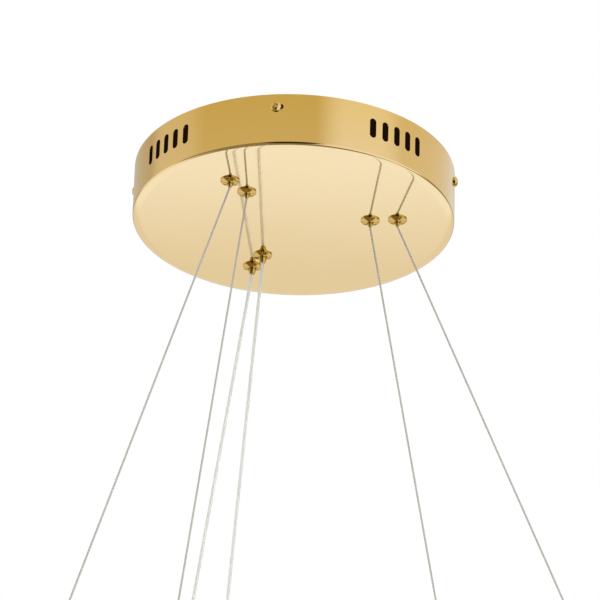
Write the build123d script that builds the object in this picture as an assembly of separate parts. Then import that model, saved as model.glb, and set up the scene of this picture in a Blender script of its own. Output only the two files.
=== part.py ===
from build123d import *
import math
import os

# Two-ring LED chandelier. Millimetres, Z up. The origin is the middle of the face that meets the ceiling,
# and +X points from it to the "side" pair of suspension lines. Everything hangs below the origin.

# Suspension: three directions, each with an outer line to the large ring and an inner one to the small
line_azimuth = {"side": 0.0, "front": -120.0, "back": 120.0}
line_kind = {"side": "rope", "front": "rope", "back": "cable"}
grip_circle = {"large": 97.5, "small": 72.0}
line_drop = {"large": 726.0, "small": 966.0}
cord_radius = {"rope": 0.9, "cable": 1.5}

# Canopy: one drawn shell with a flat underside, open at the ceiling
canopy_radius = 150.0
canopy_height = 52.0
canopy_sheet = 1.2
canopy_edge_radius = 2.4
canopy_edge_steps = 2
rim_gap = 0.5
vent_width = 6.6
vent_length = 19.8
vent_pitch = 13.2
vent_count = 5
vent_drop = 23.5
vent_end_chamfer = 2.1
vent_azimuths = (45.0, 135.0, 225.0, 315.0)

# Screws through the wall into the bracket
side_azimuths = (0.0, 90.0, 180.0, 270.0)
side_screw_drop = 13.6
side_screw_radius = 2.5
side_screw_length = 11.0
side_head_radius = 4.75
side_head_height = 3.4
side_head_crown = 1.6
side_slot_height = 5.6
side_slot_length = 9.8
side_slot_shift = 2.1
side_slot_end_chamfer = 1.8
cross_width = 1.1
cross_length = 5.0
cross_depth = 1.7

# Ceiling bracket: a stamped plate with four arms bent down behind the wall
bracket_sheet = 2.0
bracket_length = 176.0
bracket_width = 112.0
bracket_corner = 14.0
bracket_arm_width = 26.0
bracket_tab_depth = 27.0
bracket_bend_radius = 2.0
bracket_wall_gap = 0.6
ceiling_hole_circle = 180.0
ceiling_hole_radius = 2.75
mains_hole_radius = 13.0

# Self-locking grips: a flanged barrel, a release nipple, three jaws and a spring
flange_radius = 8.9
flange_rim = 1.1
flange_depth = 3.2
nipple_radius = {"rope": 2.4, "cable": 3.6}
nipple_tip_radius = {"rope": 1.45, "cable": 2.5}
nipple_reach = {"rope": 3.9, "cable": 5.6}
release_travel = 1.5
release_spare = 0.1
barrel_radius = {"rope": 5.0, "cable": 6.4}
barrel_length = 22.0
barrel_wall = 1.1
barrel_hole_gap = 0.15
cone_bottom = 3.0
cone_top = 13.0
nipple_top = 5.0
jaw_length = 6.0
jaw_width = 2.4
jaw_bite_gap = 0.2
spring_wire = 0.6
spring_turns = 3
spring_sides = 8
grip_nut_flats = {"rope": 14.0, "cable": 17.0}
grip_nut_height = 5.0
stop_length = 6.0
stop_wall = 0.9

# Power supplies and terminals under the bracket
driver_length = {"large": 122.0, "small": 100.0}
driver_width = {"large": 32.0, "small": 28.0}
driver_height = {"large": 22.0, "small": 20.0}
driver_offset = {"large": 34.0, "small": -33.0}
driver_chamfer = 1.5
driver_seam = 0.5
driver_seam_drop = 6.0
driver_pad_sheet = 1.2
driver_pad_inset = 8.0
lead_outlet_width = 9.0
lead_outlet_height = 6.0
lead_outlet_length = 3.0
lead_outlet_drop = 13.0
terminal_poles = 3
terminal_pitch = 9.5
terminal_width = 17.0
terminal_base_height = 4.0
terminal_tower_width = 7.0
terminal_tower_inset = 1.0
terminal_tower_height = 13.0
terminal_wire_radius = 1.6
terminal_wire_drop = 7.0
terminal_screw_width = 3.4
terminal_screw_depth = 3.0
terminal_centre_x = -50.0
earth_screw_x = 48.0
earth_screw_radius = 2.0
earth_head_flats = 8.0
earth_head_height = 3.0

# Rings: a rolled channel with its light side down
ring_radius = {"large": 400.0, "small": 250.0}
ring_width = 20.0
ring_height = 36.0
ring_wall = 1.6
ring_top_wall = 5.0
diffuser_sheet = 2.5
strip_width = 10.0
strip_sheet = 1.4

# Studs on top of the rings that the lines end in
anchor_reach = {"rope": 9.0, "cable": 11.0}
anchor_base_radius = {"rope": 5.5, "cable": 7.0}
anchor_base_height = 3.0
anchor_tip_radius = {"rope": 1.9, "cable": 2.9}
anchor_shank_radius = {"rope": 3.0, "cable": 4.0}
anchor_shank_length = 4.6

# Clearances, and how far a cutter runs past what it cuts
run_gap = 0.3
line_gap = 0.15
seat_gap = 0.1
fit_gap = 0.05
cut_over = 1.0

# Places that follow from the sizes
canopy_inside = canopy_radius - canopy_sheet
plate_under = -canopy_height
plate_over = plate_under + canopy_sheet
tab_outside = canopy_inside - bracket_wall_gap
bracket_under = -bracket_sheet
ring_middle = {size: radius - ring_width / 2 for size, radius in ring_radius.items()}
nipple_straight = release_travel + release_spare
jaw_top = nipple_top + jaw_length


def solid(shape):
    """The single solid of a shape that came back as a part or a compound."""
    return shape.solids()[0]


def turned(points):
    """A solid of revolution about Z from (radius, height) points."""
    return solid(revolve(Plane.XZ * make_face(Polyline(*points, close=True)), Axis.Z))


def column(radius, bottom, top):
    return Pos(0, 0, bottom) * Cylinder(radius, top - bottom, align=(Align.CENTER, Align.CENTER, Align.MIN))


def around(azimuth, radius, height=0.0):
    """The place at an azimuth and a radius about Z, turned so that its X points outwards."""
    return Rot(0, 0, azimuth) * Pos(radius, 0, height)


def hexagon(flats, height, bore=0.0):
    """A hexagon standing on height 0, with a bore if one is given."""
    nut = extrude(RegularPolygon(flats / 2, 6, major_radius=False), height)
    return solid(nut - column(bore, -cut_over, height + cut_over)) if bore else solid(nut)


def save(name, *pieces):
    """Writes one node; pieces that are alike share a node as separate solids."""
    shape = pieces[0] if len(pieces) == 1 else Compound(children=list(pieces))
    export_step(shape, f"parts/{name}.step")


# Canopy


def wall_slot(height, width, end_chamfer, azimuth, drop):
    """A cutter through the wall with bevelled corners, height along Z and width along the wall."""
    outline = Rectangle(width, height)
    outline = chamfer(outline.vertices(), end_chamfer)
    cutter = extrude(Plane.YZ * outline, 3 * canopy_sheet, both=True)
    return around(azimuth, canopy_radius, -drop) * cutter


def canopy_shell():
    """Wall and underside in one, the edge between them rounded in short steps."""
    corner_radius, corner_height = canopy_radius - canopy_edge_radius, plate_under + canopy_edge_radius
    edge = []
    for step in range(canopy_edge_steps + 1):
        turn = math.radians(90 * step / canopy_edge_steps)
        across = corner_radius + canopy_edge_radius * math.cos(turn)
        edge.append((across, corner_height - canopy_edge_radius * math.sin(turn)))
    shell = turned([
        (canopy_inside, -rim_gap),
        (canopy_radius, -rim_gap),
        *edge,
        (0, plate_under),
        (0, plate_over),
        (canopy_inside, plate_over),
    ])
    cutters = []
    pitch = math.degrees(vent_pitch / canopy_radius)
    for middle in vent_azimuths:
        for number in range(vent_count):
            azimuth = middle + (number - (vent_count - 1) / 2) * pitch
            cutters.append(wall_slot(vent_length, vent_width, vent_end_chamfer, azimuth, vent_drop))
    shift = math.degrees(side_slot_shift / canopy_radius)
    for azimuth in side_azimuths:
        slot = wall_slot(
            side_slot_height, side_slot_length, side_slot_end_chamfer, azimuth + shift, side_screw_drop
        )
        cutters.append(slot)
    for size, direction in lines():
        hole_radius = barrel_radius[line_kind[direction]] + barrel_hole_gap
        hole = column(hole_radius, -canopy_sheet, 2 * canopy_sheet)
        cutters.append(line_place(size, direction, plate_under) * hole)
    return solid(shell - cutters)


def side_screw():
    """Pan head with a cross recess; X points outwards and the head seats at X = 0."""
    rim_height = side_head_height - side_head_crown
    screw = turned([
        (0, -side_screw_length),
        (side_screw_radius, -side_screw_length),
        (side_screw_radius, 0),
        (side_head_radius, 0),
        (side_head_radius, rim_height),
        (side_head_radius - side_head_crown, side_head_height),
        (0, side_head_height),
    ])
    for turn in (0, 90):
        bar = Rot(0, 0, turn) * Box(cross_length, cross_width, 2 * cross_depth)
        screw -= Pos(0, 0, side_head_height) * bar
    return Rot(0, 90, 0) * solid(screw)


def ceiling_bracket():
    """Stamped cross plate whose four arms are bent down behind the canopy's wall."""
    plate = RectangleRounded(bracket_length, bracket_width, bracket_corner)
    bend_outer = bracket_bend_radius + bracket_sheet
    bar_end = tab_outside - bend_outer
    for turn in (0, 90):
        plate += Rot(0, 0, turn) * Rectangle(2 * bar_end, bracket_arm_width)
    body = extrude(plate, -bracket_sheet)
    inner_x = tab_outside - bracket_sheet
    root = bar_end - bracket_sheet
    outer_turn = [(root, 0), (tab_outside, 0), (tab_outside, -bracket_tab_depth)]
    outer = FilletPolyline(*outer_turn, radius=bend_outer)
    inner_turn = [(root, bracket_under), (inner_x, bracket_under), (inner_x, -bracket_tab_depth)]
    inner = FilletPolyline(*inner_turn, radius=bracket_bend_radius)
    start = Line((root, 0), (root, bracket_under))
    end = Line((tab_outside, -bracket_tab_depth), (inner_x, -bracket_tab_depth))
    tab = extrude(Plane.XZ * make_face([outer, end, inner, start]), bracket_arm_width / 2, both=True)
    through = 2 * bracket_sheet
    tapped_hole = Rot(0, 90, 0) * Cylinder(side_screw_radius + fit_gap, 2 * through)
    for azimuth in side_azimuths:
        body += Rot(0, 0, azimuth) * tab
        body -= around(azimuth, tab_outside, -side_screw_drop) * tapped_hole
        body -= around(azimuth, ceiling_hole_circle / 2) * column(ceiling_hole_radius, -through, through)
    body -= column(mains_hole_radius, -through, through)
    body -= Pos(earth_screw_x, 0, 0) * column(earth_screw_radius + fit_gap, -through, through)
    return solid(body)


# Power supplies and terminals


def driver(size):
    """A moulded case with a lid seam and a lead outlet at each end, stuck up under the bracket."""
    length, width, height = driver_length[size], driver_width[size], driver_height[size]
    hung = (Align.CENTER, Align.CENTER, Align.MAX)
    case = Box(length, width, height, align=hung)
    case = chamfer(case.edges().filter_by(Axis.Z) + case.faces().sort_by(Axis.Z)[0].edges(), driver_chamfer)
    seam = Box(length + cut_over, width + cut_over, driver_seam, align=hung)
    seam -= Box(length - 2 * driver_seam, width - 2 * driver_seam, driver_seam, align=hung)
    case -= Pos(0, 0, -driver_seam_drop) * seam
    outlets = Box(length + 2 * lead_outlet_length, lead_outlet_width, lead_outlet_height)
    case += Pos(0, 0, -lead_outlet_drop) * outlets
    return Pos(0, driver_offset[size], bracket_under - driver_pad_sheet) * solid(case)


def driver_pads():
    """The foam pads that hold the drivers to the bracket."""
    pads = []
    for size, offset in driver_offset.items():
        length, width = driver_length[size] - driver_pad_inset, driver_width[size] - driver_pad_inset
        pad = Box(length, width, driver_pad_sheet)
        pads.append(Pos(0, offset, bracket_under - driver_pad_sheet / 2) * pad)
    return pads


def terminal_block():
    """Screw terminals in a row: a base, and a tower for each pole with a screw well and a wire way."""
    hung = (Align.CENTER, Align.CENTER, Align.MAX)
    block = Box(terminal_poles * terminal_pitch, terminal_width, terminal_base_height, align=hung)
    tower_length = terminal_width - 2 * terminal_tower_inset
    for number in range(terminal_poles):
        middle = Pos((number - (terminal_poles - 1) / 2) * terminal_pitch, 0, 0)
        block += middle * Box(terminal_tower_width, tower_length, terminal_tower_height, align=hung)
        way = Rot(90, 0, 0) * Cylinder(terminal_wire_radius, terminal_width)
        way = Pos(0, 0, -terminal_wire_drop) * way
        bottom = -terminal_tower_height
        well = Pos(0, 0, bottom) * Box(terminal_screw_width, terminal_screw_width, 2 * terminal_screw_depth)
        block -= [middle * way, middle * well]
    return Pos(terminal_centre_x, 0, bracket_under) * solid(block)


def earth_screw():
    """Hexagon screw that earths the bracket."""
    shank = column(earth_screw_radius, bracket_under, 0)
    head = Pos(0, 0, bracket_under - earth_head_height) * hexagon(earth_head_flats, earth_head_height)
    return Pos(earth_screw_x, 0, 0) * solid(shank + head)


# Suspension lines


def lines():
    return [(size, direction) for size in grip_circle for direction in line_azimuth]


def line_place(size, direction, height=0.0):
    return around(line_azimuth[direction], grip_circle[size], height)


def anchor_place(size, direction, height=0.0):
    return around(line_azimuth[direction], ring_middle[size], height)


def tip_height(direction):
    """Where a line leaves its grip."""
    return plate_under - flange_depth - nipple_reach[line_kind[direction]]


def ring_top(size):
    """The top face of a ring; its rope sets the height."""
    return plate_under - flange_depth - nipple_reach["rope"] - line_drop[size] - anchor_reach["rope"]


def anchor_tip_height(size, direction):
    return ring_top(size) + anchor_reach[line_kind[direction]]


def suspension_line(size, direction):
    """One whole line: a crimped stop on top of the grip, down through it, then straight out to its stud."""
    kind = line_kind[direction]
    radius = cord_radius[kind]
    top, bottom = tip_height(direction), anchor_tip_height(size, direction)
    spread = ring_middle[size] - grip_circle[size]
    length = math.hypot(spread, top - bottom)
    way = (spread / length, 0, (bottom - top) / length)
    run = Pos(0, 0, top) * extrude(Circle(radius), amount=length, dir=way)
    stop_under = plate_under + barrel_length
    tail = column(radius, top, stop_under)
    stop = Pos(0, 0, stop_under) * hexagon(2 * (radius + stop_wall), stop_length)
    return line_place(size, direction) * solid(run + tail + stop)


def grip_neck(kind):
    return nipple_radius[kind] + run_gap


def grip_bore(kind):
    return barrel_radius[kind] - barrel_wall


def cone_radius(kind, height):
    """The inside of a grip's barrel where its jaws wedge."""
    share = (height - cone_bottom) / (cone_top - cone_bottom)
    return grip_neck(kind) + share * (grip_bore(kind) - grip_neck(kind))


def grip_body(kind):
    """Flanged barrel: a neck for the nipple, the jaws' cone, a bore for the spring and a closed top."""
    line_hole = cord_radius[kind] + line_gap
    spring_seat = barrel_length - barrel_wall
    return turned([
        (grip_neck(kind), -flange_depth),
        (flange_radius, -flange_rim),
        (flange_radius, 0),
        (barrel_radius[kind], 0),
        (barrel_radius[kind], barrel_length),
        (line_hole, barrel_length),
        (line_hole, spring_seat),
        (grip_bore(kind), spring_seat),
        (grip_bore(kind), cone_top),
        (grip_neck(kind), cone_bottom),
    ])


def grip_nipple(kind):
    """The release button: a tapered tube round the line, flared at the top so that the cone holds it."""
    bore = cord_radius[kind] + line_gap
    tip = -flange_depth - nipple_reach[kind]
    return turned([
        (bore, tip),
        (nipple_tip_radius[kind], tip),
        (nipple_radius[kind], -flange_depth - nipple_straight),
        (nipple_radius[kind], cone_bottom),
        (cone_radius(kind, nipple_top) - seat_gap, nipple_top),
        (bore, nipple_top),
    ])


def grip_jaws(kind):
    """Three wedge jaws round the line, standing on the nipple in the barrel's cone."""
    bite = cord_radius[kind] + jaw_bite_gap

    def jaw_back(height):
        return math.sqrt((cone_radius(kind, height) - run_gap) ** 2 - (jaw_width / 2) ** 2)

    side = Polyline(
        (bite, nipple_top),
        (jaw_back(nipple_top), nipple_top),
        (jaw_back(jaw_top), jaw_top),
        (bite, jaw_top),
        close=True,
    )
    jaw = solid(extrude(Plane.XZ * make_face(side), jaw_width / 2, both=True))
    return [Rot(0, 0, turn) * jaw for turn in (0, 120, 240)]


def grip_spring(kind):
    """A compression spring between the jaws and the closed top, its coils drawn with straight sides."""
    bottom = jaw_top + spring_wire
    top = barrel_length - barrel_wall - spring_wire
    coil_radius = grip_bore(kind) - run_gap - spring_wire
    steps = spring_turns * spring_sides
    points = []
    for step in range(steps + 1):
        turn = 2 * math.pi * step / spring_sides
        height = bottom + (top - bottom) * step / steps
        points.append((coil_radius * math.cos(turn), coil_radius * math.sin(turn), height))
    path = Polyline(*points)
    section = Plane(origin=path @ 0, z_dir=path % 0) * Rectangle(spring_wire, spring_wire)
    return solid(sweep(section, path=path, transition=Transition.RIGHT))


# Rings


def ring_section(size, points):
    """A full ring from (offset from the middle radius, depth below the top face) points."""
    top = ring_top(size)
    return turned([(ring_middle[size] + across, top - depth) for across, depth in points])


def ring_profile(size):
    """Rolled channel with a thick top that the studs are screwed into, open below for the light."""
    half = ring_width / 2
    trough = half - ring_wall
    body = ring_section(size, [
        (-half, 0),
        (half, 0),
        (half, ring_height),
        (trough, ring_height),
        (trough, ring_top_wall),
        (-trough, ring_top_wall),
        (-trough, ring_height),
        (-half, ring_height),
    ])
    for direction, kind in line_kind.items():
        hole = column(anchor_shank_radius[kind] + fit_gap, -ring_top_wall - cut_over, cut_over)
        body -= anchor_place(size, direction, ring_top(size)) * hole
    return solid(body)


def ring_band(size, half_width, depth, sheet):
    """A flat band in the channel, its top at a depth below the ring's top face."""
    return ring_section(size, [
        (-half_width, depth),
        (half_width, depth),
        (half_width, depth + sheet),
        (-half_width, depth + sheet),
    ])


def ring_diffuser(size):
    """Opal strip pressed in between the channel's walls, flush with their lips."""
    half = ring_width / 2 - ring_wall - fit_gap
    return ring_band(size, half, ring_height - diffuser_sheet, diffuser_sheet)


def led_strip(size):
    """The lit strip on the underside of the channel's top."""
    return ring_band(size, strip_width / 2, ring_top_wall, strip_sheet)


def line_anchor(kind):
    """A turned stud that stands on the ring's top face (height 0), the line's end swaged into its tip."""
    return turned([
        (0, -anchor_shank_length),
        (anchor_shank_radius[kind], -anchor_shank_length),
        (anchor_shank_radius[kind], 0),
        (anchor_base_radius[kind], 0),
        (anchor_base_radius[kind], anchor_base_height),
        (anchor_tip_radius[kind], anchor_reach[kind]),
        (0, anchor_reach[kind]),
    ])


# The whole object


def save_canopy():
    save("canopy_shell", canopy_shell())
    save("ceiling_bracket", ceiling_bracket())
    screw = side_screw()
    seat = canopy_radius + fit_gap
    save("side_screws", *[around(azimuth, seat, -side_screw_drop) * screw for azimuth in side_azimuths])
    for size in driver_length:
        save(f"{size}_driver", driver(size))
    save("driver_pads", *driver_pads())
    save("terminal_block", terminal_block())
    save("earth_screw", earth_screw())


def save_suspension():
    bodies = {kind: grip_body(kind) for kind in cord_radius}
    nipples = {kind: grip_nipple(kind) for kind in cord_radius}
    jaws = {kind: grip_jaws(kind) for kind in cord_radius}
    springs = {kind: grip_spring(kind) for kind in cord_radius}
    grips = {size: [] for size in grip_circle}
    nuts = []
    for size, direction in lines():
        kind = line_kind[direction]
        place = line_place(size, direction, plate_under)
        grips[size].append(place * bodies[kind])
        save(f"{size}_nipple_{direction}", place * nipples[kind])
        save(f"{size}_jaws_{direction}", *[place * jaw for jaw in jaws[kind]])
        save(f"{size}_spring_{direction}", place * springs[kind])
        save(f"{size}_{kind}_{direction}", suspension_line(size, direction))
        nut = hexagon(grip_nut_flats[kind], grip_nut_height, barrel_radius[kind] + fit_gap)
        nuts.append(place * Pos(0, 0, canopy_sheet) * nut)
    for size in grips:
        save(f"{size}_grips", *grips[size])
    save("grip_nuts", *nuts)


def save_rings():
    for size in ring_radius:
        save(f"{size}_ring_profile", ring_profile(size))
        save(f"{size}_ring_diffuser", ring_diffuser(size))
        save(f"{size}_led_strip", led_strip(size))
        studs = []
        for direction, kind in line_kind.items():
            studs.append(anchor_place(size, direction, ring_top(size)) * line_anchor(kind))
        save(f"{size}_line_anchors", *studs)


os.makedirs("parts", exist_ok=True)
save_canopy()
save_suspension()
save_rings()
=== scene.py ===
import bpy
import bmesh
import math
import numpy as np
from mathutils import Matrix


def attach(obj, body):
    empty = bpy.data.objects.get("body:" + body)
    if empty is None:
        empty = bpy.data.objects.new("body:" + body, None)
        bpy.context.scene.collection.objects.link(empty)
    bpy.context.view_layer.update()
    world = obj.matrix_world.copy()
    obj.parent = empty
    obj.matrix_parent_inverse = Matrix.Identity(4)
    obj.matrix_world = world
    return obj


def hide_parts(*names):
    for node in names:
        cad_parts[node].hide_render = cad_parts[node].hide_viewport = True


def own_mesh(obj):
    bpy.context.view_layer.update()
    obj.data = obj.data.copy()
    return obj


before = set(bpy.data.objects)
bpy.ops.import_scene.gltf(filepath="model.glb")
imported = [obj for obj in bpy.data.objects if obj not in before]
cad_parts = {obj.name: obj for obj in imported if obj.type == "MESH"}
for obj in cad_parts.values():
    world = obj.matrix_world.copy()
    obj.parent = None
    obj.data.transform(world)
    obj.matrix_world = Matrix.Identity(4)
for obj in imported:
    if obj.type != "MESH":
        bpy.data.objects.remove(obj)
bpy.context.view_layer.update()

# The chandelier hangs from the origin: mounting face at height 0, +X towards the side pair of lines. Metres.
lineAzimuth = {"side": 0.0, "front": -120.0, "back": 120.0}
lineKind = {"side": "rope", "front": "rope", "back": "cable"}
gripCircle = {"large": 0.0975, "small": 0.072}

meshing = {
    "weld": 1e-6,  # points nearer than this become one
    "sharpAngle": 32.0,  # edges that bend by more stay creased, degrees
    "cornerSteps": 4,  # points along a softened corner
    "cornerShare": 0.45,  # the most of a side that a softened corner takes
}


def turn(azimuth):
    # rotation about Z that takes +X to the azimuth in degrees
    c, s = math.cos(math.radians(azimuth)), math.sin(math.radians(azimuth))
    return np.array([[c, -s, 0.0], [s, c, 0.0], [0.0, 0.0, 1.0]])


def gridFaces(rows, columns, closed, start):
    # one quad between each pair of rows and columns; closed joins the last column to the first
    i = np.arange(rows - 1)[:, None]
    j = np.arange(columns if closed else columns - 1)[None, :]
    k = (j + 1) % columns
    near, far = i * columns, (i + 1) * columns
    quads = np.stack([near + j, near + k, far + k, far + j], axis=-1)
    return quads.reshape(-1, 4) + start


def makePiece(name, grids, material, body, replaces=()):
    # grids is a list of (points[rows, columns, 3], closed); their common edges are welded
    points, faces, start = [], [], 0
    for grid, closed in grids:
        points.append(grid.reshape(-1, 3))
        faces.append(gridFaces(grid.shape[0], grid.shape[1], closed, start))
        start += grid.shape[0] * grid.shape[1]
    points, faces = np.concatenate(points), np.concatenate(faces)
    mesh = bpy.data.meshes.new(name)
    mesh.vertices.add(len(points))
    mesh.vertices.foreach_set("co", points.astype(np.float32).ravel())
    mesh.loops.add(faces.size)
    mesh.loops.foreach_set("vertex_index", faces.astype(np.int32).ravel())
    mesh.polygons.add(len(faces))
    mesh.polygons.foreach_set("loop_start", np.arange(0, faces.size, 4, dtype=np.int32))
    mesh.update(calc_edges=True)
    welded = bmesh.new()
    welded.from_mesh(mesh)
    bmesh.ops.remove_doubles(welded, verts=welded.verts, dist=meshing["weld"])
    bmesh.ops.dissolve_degenerate(welded, edges=welded.edges, dist=meshing["weld"])
    bmesh.ops.recalc_face_normals(welded, faces=welded.faces)
    welded.to_mesh(mesh)
    welded.free()
    mesh.polygons.foreach_set("use_smooth", np.ones(len(mesh.polygons), dtype=bool))
    mesh.set_sharp_from_angle(angle=math.radians(meshing["sharpAngle"]))
    mesh.materials.append(material)
    piece = bpy.data.objects.new(name, mesh)
    bpy.context.scene.collection.objects.link(piece)
    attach(piece, body)
    if replaces:
        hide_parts(*replaces)
    return piece


def softened(profile, radius):
    # each inner corner of an open outline becomes a short parabola that starts and ends the radius away
    profile = np.asarray(profile, dtype=float)
    corner, before, after = profile[1:-1], profile[:-2], profile[2:]
    toBefore, toAfter = before - corner, after - corner
    lengthBefore = np.linalg.norm(toBefore, axis=1, keepdims=True)
    lengthAfter = np.linalg.norm(toAfter, axis=1, keepdims=True)
    cut = np.minimum(radius, meshing["cornerShare"] * np.minimum(lengthBefore, lengthAfter))
    first, last = corner + toBefore / lengthBefore * cut, corner + toAfter / lengthAfter * cut
    t = np.linspace(0.0, 1.0, meshing["cornerSteps"])[None, :, None]
    arcs = first[:, None] * (1 - t) ** 2 + 2 * corner[:, None] * t * (1 - t) + last[:, None] * t ** 2
    return np.concatenate([profile[:1], arcs.reshape(-1, 2), profile[-1:]])


def lathe(profile, columns):
    # the outline (radius, height) carried once round Z
    angle = np.linspace(0.0, 2 * math.pi, columns, endpoint=False)
    profile = np.asarray(profile, dtype=float)
    radius, height = profile[:, :1], profile[:, 1:]
    grid = np.stack([radius * np.cos(angle), radius * np.sin(angle), height + 0 * angle], axis=-1)
    return grid, True


def closedLathe(profile, radius, columns):
    # a closed outline with every corner softened: it starts half way along its last side
    profile = np.asarray(profile, dtype=float)
    seam = (profile[0] + profile[-1]) / 2
    return lathe(softened(np.vstack([seam, profile, seam]), radius), columns)


def placed(grid, offset, rotation=np.eye(3)):
    # every point turned by the rotation and then moved by the offset
    points, closed = grid
    return points @ rotation.T + offset, closed


# what most finishes share; patches and grain are counted per metre, so 9 gives patches of about 11 cm
surface = {
    "metalPatches": 9.0,
    "mattPatches": 30.0,
    "mattSmear": 0.06,
    "reliefStrength": 0.6,
    "lacquerRoughness": 0.03,
}


def newMaterial(name):
    # a material with its node tree and the shader that it starts with
    material = bpy.data.materials.new(name)
    material.use_nodes = True
    nodes, links = material.node_tree.nodes, material.node_tree.links
    return material, nodes, links, nodes["Principled BSDF"]


def noise(nodes, links, scale, detail=3.0):
    # noise on the piece's own coordinates, in metres
    place = nodes.new("ShaderNodeTexCoord")
    texture = nodes.new("ShaderNodeTexNoise")
    texture.inputs["Scale"].default_value = scale
    texture.inputs["Detail"].default_value = detail
    links.new(place.outputs["Object"], texture.inputs["Vector"])
    return texture.outputs["Fac"]


def remap(nodes, links, value, low, high, lowInput=0.3, highInput=0.7, smooth=False):
    # carries the input range over to low and high, evenly or by a smooth step
    # the range is 0.3 to 0.7 unless it is given, because noise mostly lies there
    change = nodes.new("ShaderNodeMapRange")
    change.interpolation_type = "SMOOTHSTEP" if smooth else "LINEAR"
    change.inputs["From Min"].default_value = lowInput
    change.inputs["From Max"].default_value = highInput
    change.inputs["To Min"].default_value = low
    change.inputs["To Max"].default_value = high
    links.new(value, change.inputs["Value"])
    return change.outputs["Result"]


def mixColours(nodes, links, factor, first, second):
    # first at factor 0 and second at 1, each a colour or another node's output; sockets 6 and 7 take them
    mix = nodes.new("ShaderNodeMix")
    mix.data_type = "RGBA"
    for socket, colour in ((mix.inputs[6], first), (mix.inputs[7], second)):
        if isinstance(colour, bpy.types.NodeSocket):
            links.new(colour, socket)
        else:
            socket.default_value = (*colour, 1.0)
    links.new(factor, mix.inputs[0])
    return mix.outputs[2]


def mixShaders(nodes, links, factor, first, second):
    # first at factor 0 and second at 1
    mix = nodes.new("ShaderNodeMixShader")
    for socket, value in zip(mix.inputs, (factor, first, second)):
        links.new(value, socket)
    return mix.outputs[0]


def metal(name, colour, shade, roughness, smear=0.03, coat=0.0, grain=900.0, metallic=1.0):
    # polished or satin metal: colour drifts to shade in broad patches, roughness follows fine grain
    material, nodes, links, shader = newMaterial(name)
    patches = remap(nodes, links, noise(nodes, links, surface["metalPatches"]), 0.0, 1.0)
    links.new(mixColours(nodes, links, patches, colour, shade), shader.inputs["Base Color"])
    fine = noise(nodes, links, grain, detail=2.0)
    links.new(remap(nodes, links, fine, roughness - smear, roughness + smear), shader.inputs["Roughness"])
    shader.inputs["Metallic"].default_value = metallic
    shader.inputs["Coat Weight"].default_value = coat
    shader.inputs["Coat Roughness"].default_value = surface["lacquerRoughness"]
    return material


def matt(name, colour, shade, roughness, grain, relief):
    # a moulded or painted surface: patches as on metal, and a fine texture that stands up by the relief
    material, nodes, links, shader = newMaterial(name)
    patches = remap(nodes, links, noise(nodes, links, surface["mattPatches"]), 0.0, 1.0)
    links.new(mixColours(nodes, links, patches, colour, shade), shader.inputs["Base Color"])
    texture, smear = noise(nodes, links, grain, detail=4.0), surface["mattSmear"]
    links.new(remap(nodes, links, texture, roughness - smear, roughness + smear), shader.inputs["Roughness"])
    bump = nodes.new("ShaderNodeBump")
    bump.inputs["Distance"].default_value = relief
    bump.inputs["Strength"].default_value = surface["reliefStrength"]
    links.new(texture, bump.inputs["Height"])
    links.new(bump.outputs["Normal"], shader.inputs["Normal"])
    return material


# painted reflection: one plated finish, whose wall tones and paler underside tone stand in for what the
# mirror reflects; the underside's two tones drift in random patches
canopyFinish = {
    "wallTopPaintedReflection": (0.84, 0.555, 0.145),
    "wallLowPaintedReflection": (0.86, 0.60, 0.215),
    "plate": (0.88, 0.70, 0.40),
    "plateShade": (0.865, 0.68, 0.375),
    "plateHeight": -0.0502,
    "blendHeight": 0.0016,
    "patches": 7.0,
    "grain": 600.0,
    "roughness": (0.035, 0.075),
}


def makeMirrorGold():
    # mirror plating under clear lacquer, with painted reflection: the flat underside is painted paler than
    # the wall, and the wall is graded evenly from its darker top tone to its paler low one
    material, nodes, links, shader = newMaterial("mirrorGold")
    f = canopyFinish
    patches = remap(nodes, links, noise(nodes, links, f["patches"]), 0.0, 1.0)
    plate = mixColours(nodes, links, patches, f["plate"], f["plateShade"])
    place = nodes.new("ShaderNodeTexCoord")
    split = nodes.new("ShaderNodeSeparateXYZ")
    links.new(place.outputs["Object"], split.inputs["Vector"])
    # painted reflection: the wall's tone graded by height
    lower = remap(nodes, links, split.outputs["Z"], 1.0, 0.0, f["plateHeight"], 0.0)
    wall = mixColours(nodes, links, lower, f["wallTopPaintedReflection"], f["wallLowPaintedReflection"])
    low, high = f["plateHeight"] - f["blendHeight"] / 2, f["plateHeight"] + f["blendHeight"] / 2
    onPlate = remap(nodes, links, split.outputs["Z"], 1.0, 0.0, low, high)
    links.new(mixColours(nodes, links, onPlate, wall, plate), shader.inputs["Base Color"])
    grain = noise(nodes, links, f["grain"], detail=2.0)
    links.new(remap(nodes, links, grain, *f["roughness"]), shader.inputs["Roughness"])
    shader.inputs["Metallic"].default_value = 1.0
    shader.inputs["Coat Weight"].default_value = 1.0
    shader.inputs["Coat Roughness"].default_value = surface["lacquerRoughness"]
    return material


sheathFinish = {
    "colour": (0.93, 0.93, 0.91),
    "clearness": 0.45,
    "refraction": 1.45,
    "haze": 400.0,
    "roughness": (0.12, 0.22),
}


def makeClearSheath():
    # clear soft plastic, faintly milky, its roughness drifting with the haze
    material, nodes, links, shader = newMaterial("clearSheath")
    f = sheathFinish
    haze = noise(nodes, links, f["haze"], detail=2.0)
    links.new(remap(nodes, links, haze, *f["roughness"]), shader.inputs["Roughness"])
    shader.inputs["Base Color"].default_value = (*f["colour"], 1.0)
    shader.inputs["Transmission Weight"].default_value = f["clearness"]
    shader.inputs["IOR"].default_value = f["refraction"]
    return material


opalFinish = {
    "colour": (0.88, 0.87, 0.84),
    "shade": (0.86, 0.85, 0.815),
    "cloud": 60.0,
    "grain": 1500.0,
    "roughness": (0.30, 0.38),
    "softness": 0.3,
    "depth": (0.004, 0.004, 0.0035),
    "depthScale": 0.5,
    "glow": (1.0, 0.94, 0.84),
    "glowStrength": 0.12,
}


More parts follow.
